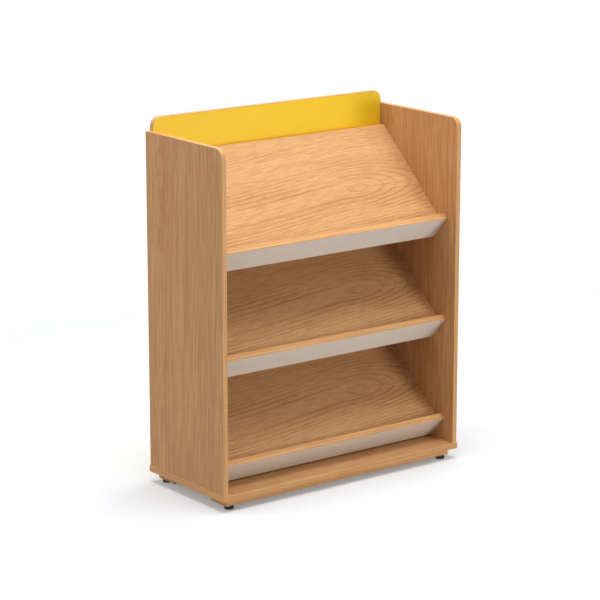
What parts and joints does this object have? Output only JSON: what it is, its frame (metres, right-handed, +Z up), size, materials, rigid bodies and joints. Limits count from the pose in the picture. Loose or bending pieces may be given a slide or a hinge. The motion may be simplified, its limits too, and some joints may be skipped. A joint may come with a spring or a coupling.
{
  "type": "book display rack",
  "caption": "Free-standing display rack with sloping shelves between two side panels; a lip along each shelf holds open books or magazines face out.",
  "frame": {"origin": "on the floor, in the middle of the rack's footprint", "axes": "+Z up, -Y towards the reader in front of the rack, +X to the reader's right"},
  "size_m": [1.004, 0.434, 1.253],
  "materials": {
    "beech_board": "matt faced board",
    "yellow_board": "matt faced board",
    "grey_board": "matt faced board",
    "beech_edging": "satin edging strip",
    "dowel_wood": "fluted beech",
    "zinc_steel": "zinc-plated",
    "cam_zinc": "die-cast zinc",
    "black_plastic": "moulded plastic"
  },
  "bodies": {
    "rack": {"back_cam_bolts": "zinc_steel", "back_cams": "cam_zinc", "back_dowels": "dowel_wood", "back_edging": "beech_edging", "back_panel": "yellow_board", "base_dowels": "dowel_wood", "base_end_edging": "beech_edging", "base_long_edging": "beech_edging", "base_panel": "beech_board", "base_screws": "zinc_steel", "foot_inserts": "zinc_steel", "lip_dowels": "dowel_wood", "lip_edging_bottom": "beech_edging", "lip_edging_middle": "beech_edging", "lip_edging_top": "beech_edging", "plinth_rail_front": "beech_board", "plinth_rail_rear": "beech_board", "rail_edging": "beech_edging", "rail_screws": "zinc_steel", "shelf_board_bottom": "beech_board", "shelf_board_middle": "beech_board", "shelf_board_top": "beech_board", "shelf_cam_bolts": "zinc_steel", "shelf_cams": "cam_zinc", "shelf_dowels": "dowel_wood", "shelf_edging_bottom": "beech_edging", "shelf_edging_middle": "beech_edging", "shelf_edging_top": "beech_edging", "shelf_lip_bottom": "grey_board", "shelf_lip_middle": "grey_board", "shelf_lip_top": "grey_board", "side_front_edging_left": "beech_edging", "side_front_edging_right": "beech_edging", "side_panel_left": "beech_board", "side_panel_right": "beech_board", "side_rear_edging_left": "beech_edging", "side_rear_edging_right": "beech_edging"},
    "pad_front_left": {"foot_pad_front_left": "black_plastic"},
    "stem_front_left": {"foot_stem_front_left": "zinc_steel"},
    "pad_front_right": {"foot_pad_front_right": "black_plastic"},
    "stem_front_right": {"foot_stem_front_right": "zinc_steel"},
    "pad_rear_left": {"foot_pad_rear_left": "black_plastic"},
    "stem_rear_left": {"foot_stem_rear_left": "zinc_steel"},
    "pad_rear_right": {"foot_pad_rear_right": "black_plastic"},
    "stem_rear_right": {"foot_stem_rear_right": "zinc_steel"}
  },
  "joints": [
    {"name": "pad_drop_front_left", "type": "slide", "parent": "rack", "child": "pad_front_left", "axis": [0, 0, -1], "range_m": [0, 0.01]},
    {"name": "stem_turn_front_left", "type": "hinge", "parent": "pad_front_left", "child": "stem_front_left", "pos_m": [-0.455, -0.1795, 0.012], "axis": [0, 0, -1], "range_deg": [0, 2880]},
    {"name": "pad_drop_front_right", "type": "slide", "parent": "rack", "child": "pad_front_right", "axis": [0, 0, -1], "range_m": [0, 0.01]},
    {"name": "stem_turn_front_right", "type": "hinge", "parent": "pad_front_right", "child": "stem_front_right", "pos_m": [0.455, -0.1795, 0.012], "axis": [0, 0, -1], "range_deg": [0, 2880]},
    {"name": "pad_drop_rear_left", "type": "slide", "parent": "rack", "child": "pad_rear_left", "axis": [0, 0, -1], "range_m": [0, 0.01]},
    {"name": "stem_turn_rear_left", "type": "hinge", "parent": "pad_rear_left", "child": "stem_rear_left", "pos_m": [-0.455, 0.1795, 0.012], "axis": [0, 0, -1], "range_deg": [0, 2880]},
    {"name": "pad_drop_rear_right", "type": "slide", "parent": "rack", "child": "pad_rear_right", "axis": [0, 0, -1], "range_m": [0, 0.01]},
    {"name": "stem_turn_rear_right", "type": "hinge", "parent": "pad_rear_right", "child": "stem_rear_right", "pos_m": [0.455, 0.1795, 0.012], "axis": [0, 0, -1], "range_deg": [0, 2880]}
  ],
  "couplings": [
    {"joint": "pad_drop_front_left", "follows": "stem_turn_front_left", "m_per_rad": 0.00019894},
    {"joint": "pad_drop_front_right", "follows": "stem_turn_front_right", "m_per_rad": 0.00019894},
    {"joint": "pad_drop_rear_left", "follows": "stem_turn_rear_left", "m_per_rad": 0.00019894},
    {"joint": "pad_drop_rear_right", "follows": "stem_turn_rear_right", "m_per_rad": 0.00019894}
  ]
}
